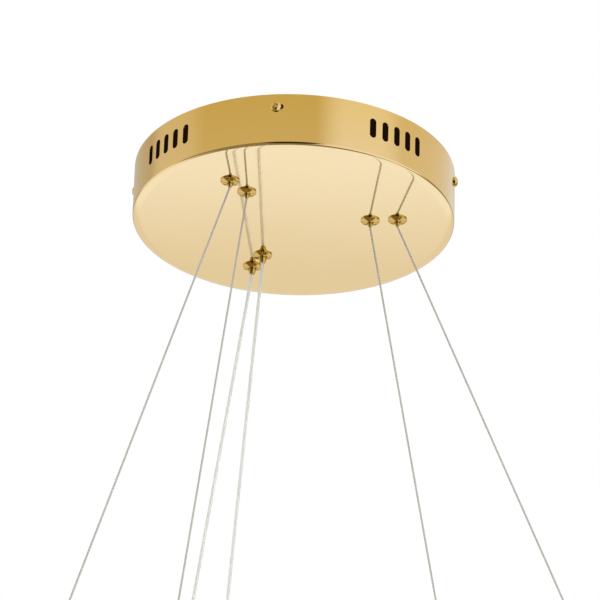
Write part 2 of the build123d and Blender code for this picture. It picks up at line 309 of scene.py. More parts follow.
def makeOpalAcrylic():
    # satin opal strip, softly lit from behind: colour drifts to shade in clouds
    material, nodes, links, shader = newMaterial("opalAcrylic")
    f = opalFinish
    cloud = remap(nodes, links, noise(nodes, links, f["cloud"]), 0.0, 1.0)
    links.new(mixColours(nodes, links, cloud, f["colour"], f["shade"]), shader.inputs["Base Color"])
    grain = noise(nodes, links, f["grain"])
    links.new(remap(nodes, links, grain, *f["roughness"]), shader.inputs["Roughness"])
    shader.inputs["Subsurface Weight"].default_value = f["softness"]
    shader.inputs["Subsurface Radius"].default_value = f["depth"]
    shader.inputs["Subsurface Scale"].default_value = f["depthScale"]
    shader.inputs["Emission Color"].default_value = (*f["glow"], 1.0)
    shader.inputs["Emission Strength"].default_value = f["glowStrength"]
    return material


metals = {
    "ringGold": {
        "colour": (0.86, 0.62, 0.24), "shade": (0.83, 0.59, 0.22), "roughness": 0.10, "coat": 0.6,
    },
    # painted shade: a darker copy of the screws' brass, standing in for the darker surroundings that the
    # grips and studs reflect
    "gripBrassPaintedShade": {
        "colour": (0.66, 0.46, 0.135), "shade": (0.60, 0.41, 0.11), "roughness": 0.10,
    },
    "screwBrass": {
        "colour": (0.86, 0.64, 0.26), "shade": (0.78, 0.56, 0.20), "roughness": 0.16, "smear": 0.05,
    },
    "ropeSteel": {
        "colour": (0.51, 0.50, 0.46), "shade": (0.46, 0.45, 0.41), "roughness": 0.48, "smear": 0.08,
        "grain": 3000.0, "metallic": 0.12,
    },
    "tinnedWire": {
        "colour": (0.84, 0.83, 0.81), "shade": (0.76, 0.75, 0.73), "roughness": 0.34, "smear": 0.08,
        "grain": 3000.0, "metallic": 0.5,
    },
    "zincSteel": {
        "colour": (0.62, 0.63, 0.65), "shade": (0.52, 0.53, 0.55), "roughness": 0.36, "smear": 0.10,
        "grain": 250.0,
    },
    "hardSteel": {
        "colour": (0.40, 0.41, 0.43), "shade": (0.32, 0.33, 0.35), "roughness": 0.30, "smear": 0.08,
    },
}
matts = {
    "blackSteel": {
        "colour": (0.020, 0.019, 0.019), "shade": (0.030, 0.028, 0.028), "roughness": 0.45,
        "grain": 900.0, "relief": 0.00003,
    },
    "whiteCase": {
        "colour": (0.86, 0.86, 0.84), "shade": (0.82, 0.82, 0.80), "roughness": 0.50,
        "grain": 1400.0, "relief": 0.00008,
    },
    "terminalNylon": {
        "colour": (0.80, 0.78, 0.70), "shade": (0.76, 0.74, 0.66), "roughness": 0.42,
        "grain": 1800.0, "relief": 0.00005,
    },
    "foam": {
        "colour": (0.05, 0.05, 0.05), "shade": (0.08, 0.08, 0.08), "roughness": 0.90,
        "grain": 2500.0, "relief": 0.0003,
    },
    "litStrip": {
        "colour": (0.92, 0.88, 0.74), "shade": (0.90, 0.84, 0.66), "roughness": 0.50,
        "grain": 500.0, "relief": 0.0001,
    },
}
finish = {name: metal(name, **values) for name, values in metals.items()}
finish.update({name: matt(name, **values) for name, values in matts.items()})
finish["mirrorGold"] = makeMirrorGold()
finish["clearSheath"] = makeClearSheath()
finish["opalAcrylic"] = makeOpalAcrylic()
print("materials made")


camera = {
    "place": (0.4234, -3.3407, -1.8604),
    "heading": 7.08,
    "pitch": 27.16,
    "roll": 1.7,
    "lens": 246.0,
    "sensor": 36.0,
    "farthest": 100.0,
}


def stand(holder, right, up, back, place):
    # puts a camera or lamp at its place, with its own X, Y and Z along right, up and back
    matrix = np.eye(4)
    matrix[:3, 0], matrix[:3, 1], matrix[:3, 2], matrix[:3, 3] = right, up, back, place
    holder.matrix_world = Matrix(matrix.tolist())
    bpy.context.scene.collection.objects.link(holder)


def makeCamera():
    # forward from heading (left of +Y) and pitch; right and down then turn about it by the roll
    heading, pitch, roll = (math.radians(camera[k]) for k in ("heading", "pitch", "roll"))
    forward = np.array([
        -math.sin(heading) * math.cos(pitch),
        math.cos(heading) * math.cos(pitch),
        math.sin(pitch),
    ])
    level = np.array([math.cos(heading), math.sin(heading), 0.0])
    down = np.cross(forward, level)
    right = math.cos(roll) * level - math.sin(roll) * down
    up = -(math.sin(roll) * level + math.cos(roll) * down)
    data = bpy.data.cameras.new("camera")
    data.lens = camera["lens"]
    data.sensor_width = camera["sensor"]
    data.clip_end = camera["farthest"]
    holder = bpy.data.objects.new("camera", data)
    stand(holder, right, up, -forward, camera["place"])
    bpy.context.scene.camera = holder


# what mirrors see by direction: a base tone, then patches (towards, full within, gone beyond, tone), degrees
highTones = {
    "base": (0.68, 0.61, 0.40),
    "patches": [
        (120.0, 30.0, 62.0, (0.56, 0.50, 0.38)),
        (180.0, 6.0, 30.0, (0.75, 0.71, 0.63)),
        (20.0, 48.0, 78.0, (0.78, 0.74, 0.66)),
        (-34.0, 8.0, 36.0, (0.93, 0.95, 1.10)),
    ],
}
lowTones = {
    "base": (0.30, 0.24, 0.12),
    "patches": [
        (-82.0, 16.0, 26.0, (0.02, 0.015, 0.008)),
        (-25.0, 32.0, 46.0, (1.0, 0.98, 0.92)),
        (170.0, 12.0, 28.0, (1.0, 0.97, 0.88)),
    ],
}
poolSpread = {
    "base": (0.0, 0.0, 0.0),
    "patches": [(97.0, 38.0, 60.0, (1.0, 1.0, 1.0))],
}
levelOnly = (1.0, 1.0, 0.0)


def vectorMath(nodes, links, operation, first, second=None):
    # one step of vector arithmetic on an output and, where the step needs one, a fixed vector
    node = nodes.new("ShaderNodeVectorMath")
    node.operation = operation
    links.new(first, node.inputs[0])
    if second is not None:
        node.inputs[1].default_value = second
    return node.outputs


def arithmetic(nodes, links, operation, first, second):
    # one step of arithmetic, kept between 0 and 1, on outputs or plain numbers
    node = nodes.new("ShaderNodeMath")
    node.operation = operation
    node.use_clamp = True
    for socket, value in zip(node.inputs, (first, second)):
        if isinstance(value, bpy.types.NodeSocket):
            links.new(value, socket)
        else:
            socket.default_value = value
    return node.outputs[0]


def lightPathSum(nodes, links, names):
    # 1 for a ray of any of the named kinds, else 0
    path = nodes.new("ShaderNodeLightPath")
    total = path.outputs[names[0]]
    for name in names[1:]:
        total = arithmetic(nodes, links, "ADD", total, path.outputs[name])
    return total


def tonesAround(nodes, links, direction, tones):
    # mixes each patch over the tones before it by the cosine between the direction and the patch's middle
    flat = vectorMath(nodes, links, "MULTIPLY", direction, levelOnly)["Vector"]
    unit = vectorMath(nodes, links, "NORMALIZE", flat)["Vector"]
    tone = tones["base"]
    for towards, inner, outer, patch in tones["patches"]:
        middle = math.radians(towards)
        way = (math.cos(middle), math.sin(middle), 0.0)
        cosine = vectorMath(nodes, links, "DOT_PRODUCT", unit, way)["Value"]
        low, high = math.cos(math.radians(outer)), math.cos(math.radians(inner))
        share = remap(nodes, links, cosine, 0.0, 1.0, low, high, smooth=True)
        tone = mixColours(nodes, links, share, tone, patch)
    return tone


discSides = 96


def stageDisc(name, radius, height, material):
    # one flat face whose rim is a circle at the height
    angle = np.linspace(0.0, 2 * math.pi, discSides, endpoint=False)
    rim = np.stack([radius * np.cos(angle), radius * np.sin(angle), height + 0 * angle], axis=-1)
    mesh = bpy.data.meshes.new(name)
    mesh.from_pydata(rim.tolist(), [], [list(range(len(rim)))])
    mesh.materials.append(material)
    disc = bpy.data.objects.new(name, mesh)
    bpy.context.scene.collection.objects.link(disc)


floor = {
    "height": -2.3,
    "radius": 40.0,
    "colour": (0.86, 0.86, 0.85),
    "roughness": 0.9,
    "poolInner": 3.95,
    "poolOuter": 4.40,
    "poolBright": (1.04, 1.03, 1.02),
    "poolDim": (0.86, 0.80, 0.68),
    "shadowPlace": (-0.25, 0.60),
    "shadowInner": 1.00,
    "shadowOuter": 1.40,
    "shadowTone": (0.24, 0.19, 0.10),
}


def makeFloor():
    # a pale disc, clear to the eye from below; mirrors see the low tones on it and, ahead, a pool of light
    # that dims outwards and has one dark spot
    f = floor
    material, nodes, links, shader = newMaterial("floorPaper")
    shader.inputs["Base Color"].default_value = (*f["colour"], 1.0)
    shader.inputs["Roughness"].default_value = f["roughness"]
    place = nodes.new("ShaderNodeTexCoord").outputs["Object"]
    flat = vectorMath(nodes, links, "MULTIPLY", place, levelOnly)["Vector"]
    distance = vectorMath(nodes, links, "LENGTH", flat)["Value"]
    far = remap(nodes, links, distance, 0.0, 1.0, f["poolInner"], f["poolOuter"])
    pool = mixColours(nodes, links, far, f["poolBright"], f["poolDim"])
    sides = tonesAround(nodes, links, place, lowTones)
    ahead = tonesAround(nodes, links, place, poolSpread)
    lit = mixColours(nodes, links, ahead, sides, pool)
    near = vectorMath(nodes, links, "DISTANCE", place, (*f["shadowPlace"], f["height"]))["Value"]
    out = remap(nodes, links, near, 0.0, 1.0, f["shadowInner"], f["shadowOuter"], smooth=True)
    glow = nodes.new("ShaderNodeEmission")
    links.new(mixColours(nodes, links, out, f["shadowTone"], lit), glow.inputs["Color"])
    mirrored = lightPathSum(nodes, links, ["Is Glossy Ray", "Is Transmission Ray"])
    paper = mixShaders(nodes, links, mirrored, shader.outputs[0], glow.outputs[0])
    below = nodes.new("ShaderNodeNewGeometry").outputs["Backfacing"]
    seenFromBelow = arithmetic(nodes, links, "MULTIPLY", below, lightPathSum(nodes, links, ["Is Camera Ray"]))
    clear = nodes.new("ShaderNodeBsdfTransparent").outputs[0]
    either = mixShaders(nodes, links, seenFromBelow, paper, clear)
    links.new(either, nodes["Material Output"].inputs["Surface"])
    stageDisc("floor", f["radius"], f["height"], material)


# painted shade: the colour of the dark disc that stands in for the shade inside the canopy
shade = {
    "height": 0.0004,
    "radius": 0.1480,
    "colour": (0.010, 0.005, 0.002),
}


def makeShade():
    # a painted shade: a dark disc over the open canopy, standing in for the shade inside it, dark to what
    # looks up into it:
    # eyes, rays through clear plastic, and mirrors, except where a mirror's ray came in through the disc and
    # so has a transparent depth above 0
    material, nodes, links, shader = newMaterial("ceilingShade")
    nodes.remove(shader)
    dark = nodes.new("ShaderNodeEmission")
    dark.inputs["Color"].default_value = (*shade["colour"], 1.0)
    clear = nodes.new("ShaderNodeBsdfTransparent")
    below = nodes.new("ShaderNodeNewGeometry").outputs["Backfacing"]
    path = nodes.new("ShaderNodeLightPath").outputs
    fromBelow = arithmetic(nodes, links, "LESS_THAN", path["Transparent Depth"], 0.5)
    mirrored = arithmetic(nodes, links, "MULTIPLY", path["Is Glossy Ray"], fromBelow)
    seen = lightPathSum(nodes, links, ["Is Camera Ray", "Is Transmission Ray"])
    looks = arithmetic(nodes, links, "ADD", seen, mirrored)
    share = arithmetic(nodes, links, "MULTIPLY", below, looks)
    either = mixShaders(nodes, links, share, clear.outputs[0], dark.outputs[0])
    links.new(either, nodes["Material Output"].inputs["Surface"])
    stageDisc("ceilingShade", shade["radius"], shade["height"], material)


sky = {
    "daylight": 0.62,
    "lowEnd": 0.09,
    "highStart": 0.24,
}


def makeWorld():
    # white to the eye; mirrors see the low tones, and from a little above the horizon the high ones; the
    # rest is lit by plain grey daylight
    world = bpy.data.worlds.new("studio")
    world.use_nodes = True
    bpy.context.scene.world = world
    nodes, links = world.node_tree.nodes, world.node_tree.links
    plain = nodes["Background"]
    plain.inputs["Color"].default_value = (1.0, 1.0, 1.0, 1.0)
    plain.inputs["Strength"].default_value = sky["daylight"]
    direction = nodes.new("ShaderNodeTexCoord").outputs["Generated"]
    split = nodes.new("ShaderNodeSeparateXYZ")
    links.new(direction, split.inputs["Vector"])
    lift = remap(nodes, links, split.outputs["Z"], 0.0, 1.0, sky["lowEnd"], sky["highStart"])
    low = tonesAround(nodes, links, direction, lowTones)
    high = tonesAround(nodes, links, direction, highTones)
    mirrored = nodes.new("ShaderNodeBackground")
    links.new(mixColours(nodes, links, lift, low, high), mirrored.inputs["Color"])
    seen = nodes.new("ShaderNodeBackground")
    seen.inputs["Color"].default_value = (1.0, 1.0, 1.0, 1.0)
    glossy = lightPathSum(nodes, links, ["Is Glossy Ray"])
    lit = mixShaders(nodes, links, glossy, plain.outputs[0], mirrored.outputs[0])
    looked = lightPathSum(nodes, links, ["Is Camera Ray", "Is Transmission Ray"])
    either = mixShaders(nodes, links, looked, lit, seen.outputs[0])
    links.new(either, nodes["World Output"].inputs["Surface"])


lamps = {
    "key": {"place": (2.4, -2.3, -0.3), "size": 1.6, "power": 62.0},
    "fill": {"place": (-3.0, -1.2, -0.5), "size": 2.2, "power": 38.0},
    "back": {"place": (-0.8, 3.2, 1.4), "size": 2.0, "power": 35.0},
}


def makeLamps():
    # square softboxes aimed at the canopy, unseen themselves
    for name, lamp in lamps.items():
        data = bpy.data.lights.new(name, "AREA")
        data.size = lamp["size"]
        data.energy = lamp["power"]
        holder = bpy.data.objects.new(name, data)
        holder.visible_glossy = False
        holder.visible_camera = False
        away = np.array(lamp["place"]) / np.linalg.norm(lamp["place"])
        across = np.cross([0.0, 0.0, 1.0], away)
        across /= np.linalg.norm(across)
        stand(holder, across, np.cross(away, across), away, lamp["place"])


makeCamera()
makeFloor()
makeShade()
makeWorld()
makeLamps()
bpy.context.scene.view_settings.view_transform = "Standard"
print("camera, floor and light set")


canopy = {
    "radius": 0.150,
    "height": 0.052,
    "sheet": 0.0012,
    "edge": 0.0019,
    "edgeSteps": 12,
    "edgeSlope": 14.0,
    "innerChamferIn": 0.0008,
    "innerChamferUp": 0.0006,
    "innerFlatFrom": 0.0030,
    "innerRings": (0.1, 0.05, 0.0),
    "rimGap": 0.0005,
    "rows": 28,
    "plateRows": 16,
    "crownStart": 0.1405,
    "groups": 4,
    "vents": 5,
    "ventWidth": 0.0066,
    "ventLength": 0.0198,
    "ventPitch": 0.0132,
    "ventDrop": 0.0235,
    "ventColumns": 10,
    "slotLength": 0.0098,
    "slotHeight": 0.0056,
    "slotShift": 0.0021,
    "slotDrop": 0.0136,
    "slotCell": 0.0220,
    "slotColumns": 14,
    "plainColumns": 24,
    "rings": 6,
}


def obround(direction, halfWidth, halfHeight):
    # where a ray from the middle meets a slot's outline: its straight side, or else its round end
    swap = halfWidth > halfHeight
    x, y = (direction[..., 1], direction[..., 0]) if swap else (direction[..., 0], direction[..., 1])
    small, large = min(halfWidth, halfHeight), max(halfWidth, halfHeight)
    centre = large - small
    x, y = np.abs(x), np.abs(y)
    toSide = small / np.maximum(x, 1e-12)  # never divides by nothing
    squared = x * x + y * y
    root = np.sqrt(np.maximum((centre * y) ** 2 - squared * (centre ** 2 - small ** 2), 0.0))
    toEnd = (centre * y + root) / squared
    return direction * np.where(toSide * y <= centre, toSide, toEnd)[..., None]


def cellWithSlot(left, right, heights, middle, halfSize, columns, rings):
    # rings of points that change from the slot's outline to the cell's edge; (along, height) pairs
    across = np.linspace(left, right, columns + 1)
    low, high = heights[0], heights[-1]
    edge = np.concatenate([
        np.stack([across[:-1], 0 * across[:-1] + low], axis=-1),
        np.stack([0 * heights[:-1] + right, heights[:-1]], axis=-1),
        np.stack([across[:0:-1], 0 * across[1:] + high], axis=-1),
        np.stack([0 * heights[1:] + left, heights[:0:-1]], axis=-1),
    ])
    reach = edge - middle
    scale = np.where(reach > 0, [right - middle[0], high - middle[1]], [middle[0] - left, middle[1] - low])
    outline = middle + obround(reach / scale * halfSize, *halfSize)
    t = np.linspace(0.0, 1.0, rings + 1)[:, None, None]
    return outline[None] * (1 - t) + edge[None] * t


def onCylinder(cell, radius):
    # lays (along, height) on the wall: along is measured on the outside of the wall
    angle = cell[..., 0] / canopy["radius"]
    return np.stack([radius * np.cos(angle), radius * np.sin(angle), cell[..., 1]], axis=-1)


def crownShape():
    # where the underside's curve starts, ends and how far it rises: a cubic whose end slope is the edge's
    c = canopy
    slope = math.radians(c["edgeSlope"])
    end = c["radius"] - c["edge"] + c["edge"] * math.sin(slope)
    rise = math.tan(slope) * (end - c["crownStart"]) / 3
    return slope, end, rise


def wallFoot():
    # the height at which the wall runs into the rounded edge
    slope, end, rise = crownShape()
    return rise + canopy["edge"] * math.cos(slope) - canopy["height"]


def canopyCells():
    # round the wall, each group from left to right: screw slot, vents, and the plain wall on both sides
    c = canopy
    heights = np.linspace(wallFoot(), -c["rimGap"], c["rows"] + 1)
    span = 2 * math.pi * c["radius"] / c["groups"]
    slotMiddle = np.array([c["slotShift"], -c["slotDrop"]])
    slotSize = np.array([c["slotLength"], c["slotHeight"]]) / 2
    ventSize = np.array([c["ventWidth"], c["ventLength"]]) / 2
    slotLeft, slotRight = c["slotShift"] - c["slotCell"] / 2, c["slotShift"] + c["slotCell"] / 2
    ventLeft = span / 2 - c["vents"] / 2 * c["ventPitch"]
    ventRight = ventLeft + c["vents"] * c["ventPitch"]
    cells, columns = [], []
    for group in range(c["groups"]):
        start = group * span
        cells.append(("slot", cellWithSlot(
            start + slotLeft, start + slotRight, heights, slotMiddle + [start, 0], slotSize,
            c["slotColumns"], c["rings"],
        )))
        columns.append(np.linspace(start + slotLeft, start + slotRight, c["slotColumns"] + 1)[:-1])
        for vent in range(c["vents"]):
            left = start + ventLeft + vent * c["ventPitch"]
            middle = np.array([left + c["ventPitch"] / 2, -c["ventDrop"]])
            cells.append(("slot", cellWithSlot(
                left, left + c["ventPitch"], heights, middle, ventSize, c["ventColumns"], c["rings"],
            )))
            columns.append(np.linspace(left, left + c["ventPitch"], c["ventColumns"] + 1)[:-1])
        for low, high in ((slotRight, ventLeft), (ventRight, span + slotLeft)):
            across = np.linspace(start + low, start + high, c["plainColumns"] + 1)
            plain = np.stack(np.broadcast_arrays(across[None, :], heights[:, None]), axis=-1)
            cells.append(("plain", plain))
            columns.append(across[:-1])
    along = np.sort(np.concatenate(columns))
    return cells, along


def canopyProfiles():
    # (radius, height) outlines from the wall inwards: underside with its rounded edge, inside, and rim
    c = canopy
    inside, foot, innerPlate = c["radius"] - c["sheet"], wallFoot(), c["sheet"] - c["height"]
    slope, crownEnd, rise = crownShape()
    bend = np.linspace(0.0, math.pi / 2 - slope, c["edgeSteps"])
    corner = c["radius"] - c["edge"]
    crowned = np.linspace(crownEnd, c["crownStart"], c["plateRows"])[1:]
    share = (crowned - c["crownStart"]) / (crownEnd - c["crownStart"])
    plain = np.linspace(c["crownStart"], 0.0, c["plateRows"])[1:]
    under = np.concatenate([
        np.stack([corner + c["edge"] * np.cos(bend), foot - c["edge"] * np.sin(bend)], axis=-1),
        np.stack([crowned, rise * share ** 3 - c["height"]], axis=-1),
        np.stack([plain, 0 * plain - c["height"]], axis=-1),
    ])
    over = [(inside, foot), (inside - c["innerChamferIn"], innerPlate + c["innerChamferUp"])]
    over += [(radius, innerPlate) for radius in (inside - c["innerFlatFrom"], *c["innerRings"])]
    rim = [(c["radius"], -c["rimGap"]), (inside, -c["rimGap"])]
    return under, np.array(over), np.array(rim)


def canopyShell():
    # the wall's cells laid on both its faces and joined through the slots, then the outlines carried round
    c = canopy
    cells, along = canopyCells()
    grids = []
    for kind, cell in cells:
        closed = kind == "slot"
        outer, inner = onCylinder(cell, c["radius"]), onCylinder(cell, c["radius"] - c["sheet"])
        grids += [(outer, closed), (inner, closed)]
        if closed:
            grids.append((np.stack([outer[0], inner[0]]), True))
    angle = along / c["radius"]
    for profile in canopyProfiles():
        radius, height = profile[:, :1], profile[:, 1:]
        grid = np.stack([radius * np.cos(angle), radius * np.sin(angle), height + 0 * angle], axis=-1)
        grids.append((grid, True))
    makePiece("canopyShell", grids, finish["mirrorGold"], "canopy", ["canopy_shell"])


canopyShell()
print("canopy made")


sideScrew = {
    "azimuths": (0.0, 90.0, 180.0, 270.0),
    "drop": 0.0136,
    "seat": 0.15005,
    "twist": 28.0,
    "headRadius": 0.00475,
    "headHeight": 0.0034,
    "domeShare": 0.62,
    "domePower": 3.2,
    "recessLength": 0.0027,
    "recessWidth": 0.00062,
    "recessDepth": 0.0017,
    "recessEnd": 0.0007,
    "recessSide": 0.00018,
    "shankRadius": 0.0025,
    "length": 0.011,
    "rows": 34,
    "columns": 96,
}


def screwHead():
    # a height over a polar grid: a flattened dome with two crossing troughs that taper to their ends
    s = sideScrew
    radius = np.linspace(0.0, 1.0, s["rows"])[:, None] * s["headRadius"]
    angle = np.linspace(0.0, 2 * math.pi, s["columns"], endpoint=False)[None, :]
    x, y = radius * np.cos(angle), radius * np.sin(angle)
    fall = s["domeShare"] * (radius / s["headRadius"]) ** s["domePower"]
    dome = s["headHeight"] * (1 - fall) + 0 * angle
    recess = 0 * dome
    for along, across in ((x, y), (y, x)):
        end = np.clip((s["recessLength"] - np.abs(along)) / s["recessEnd"], 0.0, 1.0)
        side = np.clip((s["recessWidth"] - np.abs(across)) / s["recessSide"], 0.0, 1.0)
        recess = np.maximum(recess, end * side)
    height = dome - s["recessDepth"] * recess
    top = np.stack([x, y, height], axis=-1)
    rim = [(s["headRadius"], height[-1, 0]), (s["headRadius"], 0.0), (s["shankRadius"], 0.0)]
    rim += [(s["shankRadius"], -s["length"]), (0.0, -s["length"])]
    return [(top, True), lathe(rim, s["columns"])]


def makeSideScrews():
    # each screw twisted about its own axis, laid along +X and turned to its place on the wall
    grids = []
    outwards = np.array([[0.0, 0.0, 1.0], [0.0, 1.0, 0.0], [-1.0, 0.0, 0.0]])
    twist = turn(sideScrew["twist"])
    for azimuth in sideScrew["azimuths"]:
        spin = turn(azimuth)
        offset = spin @ np.array([sideScrew["seat"], 0.0, -sideScrew["drop"]])
        for grid in screwHead():
            grids.append(placed(grid, offset, spin @ outwards @ twist))
    makePiece("sideScrews", grids, finish["screwBrass"], "canopy", ["side_screws"])


makeSideScrews()
print("side screws made")


grip = {
    "plateUnder": -0.052,
    "flangeRadius": 0.0089,
    "flangeRim": 0.0011,
    "flangeDepth": 0.0032,
    "collarLip": 0.00025,
    "collarWidth": 0.0011,
    "collarDrop": 0.0009,
    "runGap": 0.0003,
    "lineGap": 0.00015,
    "seatGap": 0.0001,
    "barrelLength": 0.022,
    "barrelWall": 0.0011,
    "coneBottom": 0.003,
    "coneTop": 0.013,
    "nippleTop": 0.005,
    "nippleStraight": 0.0016,
    "bevel": 0.00014,
    "columns": 80,
}
gripSize = {
    "rope": {"cord": 0.0009, "nipple": 0.0024, "tip": 0.00145, "reach": 0.0039, "barrel": 0.005},
    "cable": {"cord": 0.0015, "nipple": 0.0036, "tip": 0.0025, "reach": 0.0056, "barrel": 0.0064},
}


def gripPlace(size, direction):
    # on its ring's grip circle, at the canopy's underside
    azimuth = math.radians(lineAzimuth[direction])
    radius = gripCircle[size]
    return np.array([radius * math.cos(azimuth), radius * math.sin(azimuth), grip["plateUnder"]])


def gripBody(kind):
    # flange under the plate, barrel above it, and the bore inside both
    g, s = grip, gripSize[kind]
    neck, bore, hole = s["nipple"] + g["runGap"], s["barrel"] - g["barrelWall"], s["cord"] + g["lineGap"]
    seat = g["barrelLength"] - g["barrelWall"]
    outline = [
        (neck, -g["flangeDepth"]),
        (neck + g["collarLip"], -g["flangeDepth"]),
        (neck + g["collarWidth"], g["collarDrop"] - g["flangeDepth"]),
        (g["flangeRadius"], -g["flangeRim"]),
        (g["flangeRadius"], 0.0),
        (s["barrel"], 0.0),
        (s["barrel"], g["barrelLength"]),
        (hole, g["barrelLength"]),
        (hole, seat),
        (bore, seat),
        (bore, g["coneTop"]),
        (neck, g["coneBottom"]),
    ]
    return closedLathe(outline, g["bevel"], g["columns"])


def gripNipple(kind):
    # tapered release button whose flare sits in the barrel's cone, with a rounded lip round its line hole
    g, s = grip, gripSize[kind]
    hole, tip = s["cord"] + g["lineGap"], -g["flangeDepth"] - s["reach"]
    neck, bore = s["nipple"] + g["runGap"], s["barrel"] - g["barrelWall"]
    share = (g["nippleTop"] - g["coneBottom"]) / (g["coneTop"] - g["coneBottom"])
    flare = neck + share * (bore - neck) - g["seatGap"]
    outline = [
        (hole, tip),
        (s["tip"], tip),
        (s["nipple"], -g["flangeDepth"] - g["nippleStraight"]),
        (s["nipple"], g["coneBottom"]),
        (flare, g["nippleTop"]),
        (hole, g["nippleTop"]),
    ]
    return closedLathe(outline, g["bevel"], g["columns"])


def makeGrips():
    # three grip bodies as one piece for each ring, and each nipple a piece that moves by itself
    for size in gripCircle:
        bodies = []
        for direction, kind in lineKind.items():
            place = gripPlace(size, direction)
            bodies.append(placed(gripBody(kind), place))
            makePiece(
                f"{size}Nipple{direction.title()}", [placed(gripNipple(kind), place)], finish["gripBrassPaintedShade"],
                f"{size}_release_{direction}", [f"{size}_nipple_{direction}"],
            )
        makePiece(f"{size}Grips", bodies, finish["gripBrassPaintedShade"], "canopy", [f"{size}_grips"])


makeGrips()
print("grips made")


ring = {
    "radius": {"large": 0.400, "small": 0.250},
    "drop": {"large": 0.726, "small": 0.966},
    "width": 0.020,
    "height": 0.036,
    "wall": 0.0016,
    "topWall": 0.005,
    "diffuser": 0.0025,
    "fitGap": 0.00005,
    "bevel": 0.0007,
    "diffuserBevel": 0.0004,
    "columns": 420,
}
stud = {
    "baseHeight": 0.003,
    "shankLength": 0.0046,
    "bevel": 0.0004,
    "columns": 64,
}
studSize = {
    "rope": {"reach": 0.009, "base": 0.0055, "tip": 0.0019, "shank": 0.003},
    "cable": {"reach": 0.011, "base": 0.007, "tip": 0.0029, "shank": 0.004},
}


def ringMiddle(size):
    # the radius half way across the ring's width
    return ring["radius"][size] - ring["width"] / 2


def ringTop(size):
    # the height of the top face: below a rope grip's tip by the drop and the stud's reach
    tip = grip["plateUnder"] - grip["flangeDepth"] - gripSize["rope"]["reach"]
    return tip - ring["drop"][size] - studSize["rope"]["reach"]


def ringBand(size, points, bevel):
    # (offset from the middle radius, depth below the top face) carried round the ring
    outline = [(ringMiddle(size) + across, ringTop(size) - depth) for across, depth in points]
    return closedLathe(outline, bevel, ring["columns"])


def ringProfile(size):
    # a channel open downwards
    half, height, top = ring["width"] / 2, ring["height"], ring["topWall"]
    trough = half - ring["wall"]
    return ringBand(size, [
        (-half, 0), (half, 0), (half, height), (trough, height),
        (trough, top), (-trough, top), (-trough, height), (-half, height),
    ], ring["bevel"])


def ringDiffuser(size):
    # a flat strip that closes the channel, flush with its edges
    half = ring["width"] / 2 - ring["wall"] - ring["fitGap"]
    low, high = ring["height"] - ring["diffuser"], ring["height"]
    return ringBand(size, [(-half, low), (half, low), (half, high), (-half, high)], ring["diffuserBevel"])


def studBody(kind):
    # a shank in the ring's top wall, a round base on it, and a cone up to the line's end
    s = studSize[kind]
    outline = [
        (0, -stud["shankLength"]), (s["shank"], -stud["shankLength"]), (s["shank"], 0), (s["base"], 0),
        (s["base"], stud["baseHeight"]), (s["tip"], s["reach"]), (0, s["reach"]),
    ]
    return lathe(softened(outline, stud["bevel"]), stud["columns"])


def studPlace(size, direction):
    # in the line's direction, in the middle of the ring's top face
    azimuth, radius = math.radians(lineAzimuth[direction]), ringMiddle(size)
    return np.array([radius * math.cos(azimuth), radius * math.sin(azimuth), ringTop(size)])


def makeRings():
    # channel, diffuser and three studs for each ring
    for size in ring["radius"]:
        studs = [placed(studBody(kind), studPlace(size, way)) for way, kind in lineKind.items()]
        parts = [
            ("RingProfile", [ringProfile(size)], "ringGold", "gold_ring", "ring_profile"),
            ("RingDiffuser", [ringDiffuser(size)], "opalAcrylic", "opal_diffuser", "ring_diffuser"),
            ("LineAnchors", studs, "gripBrassPaintedShade", "grip_brass", "line_anchors"),
        ]
        for name, grids, look, slot, node in parts:
            makePiece(size + name, grids, finish[look], f"{size}_ring", [f"{size}_{node}"])


makeRings()
print("rings made")


line = {
    "ropeStrands": 6,
    "ropeLay": 0.0190,
    "ropeColumns": 36,
    "ropeRowsPerLay": 18,
    "coreRadius": 0.00048,
    "coreOffset": 0.00050,
    "coreLay": 0.013,
    "coreColumns": 10,
    "coreRowsPerLay": 14,
    "sheathColumns": 28,
    "sheathRows": 60,
    "stopLength": 0.006,
    "stopWall": 0.0009,
    "stopBevel": 0.0003,
    "stopColumns": 24,
}


def frameAlong(start, end, count):
    # points of a straight run and two directions across it
    t = np.linspace(0.0, 1.0, count)[:, None]
    way = (end - start) / np.linalg.norm(end - start)
    first = np.cross(way, [0.0, 1.0, 0.0])
    first /= np.linalg.norm(first)
    return start + t * (end - start), first, np.cross(way, first)


def endCap(row, centre):
    # a fan from the last row of points to their middle
    return np.stack([row, np.broadcast_to(centre, row.shape)]), True


def tube(start, end, radiusOf, columns, count, offsetOf=None):
    # radiusOf gives the section's radius from (angle, distance); offsetOf moves the middle off the run
    middle, first, second = frameAlong(start, end, count)
    distance = np.linspace(0.0, np.linalg.norm(end - start), count)[:, None]
    angle = np.linspace(0.0, 2 * math.pi, columns, endpoint=False)[None, :]
    radius = radiusOf(angle, distance)
    grid = middle[:, None] + radius[..., None] * (
        np.cos(angle)[..., None] * first + np.sin(angle)[..., None] * second
    )
    if offsetOf is not None:
        a, b = offsetOf(distance)
        grid = grid + (a * first + b * second)[:, None]
    centres = grid.mean(axis=1)
    return [(grid, True), endCap(grid[0], centres[0]), endCap(grid[-1], centres[-1])]


def strandOutline(radius, lay):
    # round strands lie round a core and turn once in each lay; a strand's radius is a third of the
    # rope's, and its middle lies at two thirds of it
    centre, strand = radius * 2 / 3, radius / 3
    step = 2 * math.pi / line["ropeStrands"]

    def radiusOf(angle, distance):
        # the far side of the nearest strand, local being the angle from its middle
        local = np.mod(angle - 2 * math.pi * distance / lay + step / 2, step) - step / 2
        chord = np.maximum(strand ** 2 - (centre * np.sin(local)) ** 2, 0.0)
        return centre * np.cos(local) + np.sqrt(chord)

    return radiusOf


def roundOutline(radius):
    # the same radius all round and all along
    def radiusOf(angle, distance):
        # one value for every angle and distance
        return radius + 0 * angle + 0 * distance

    return radiusOf


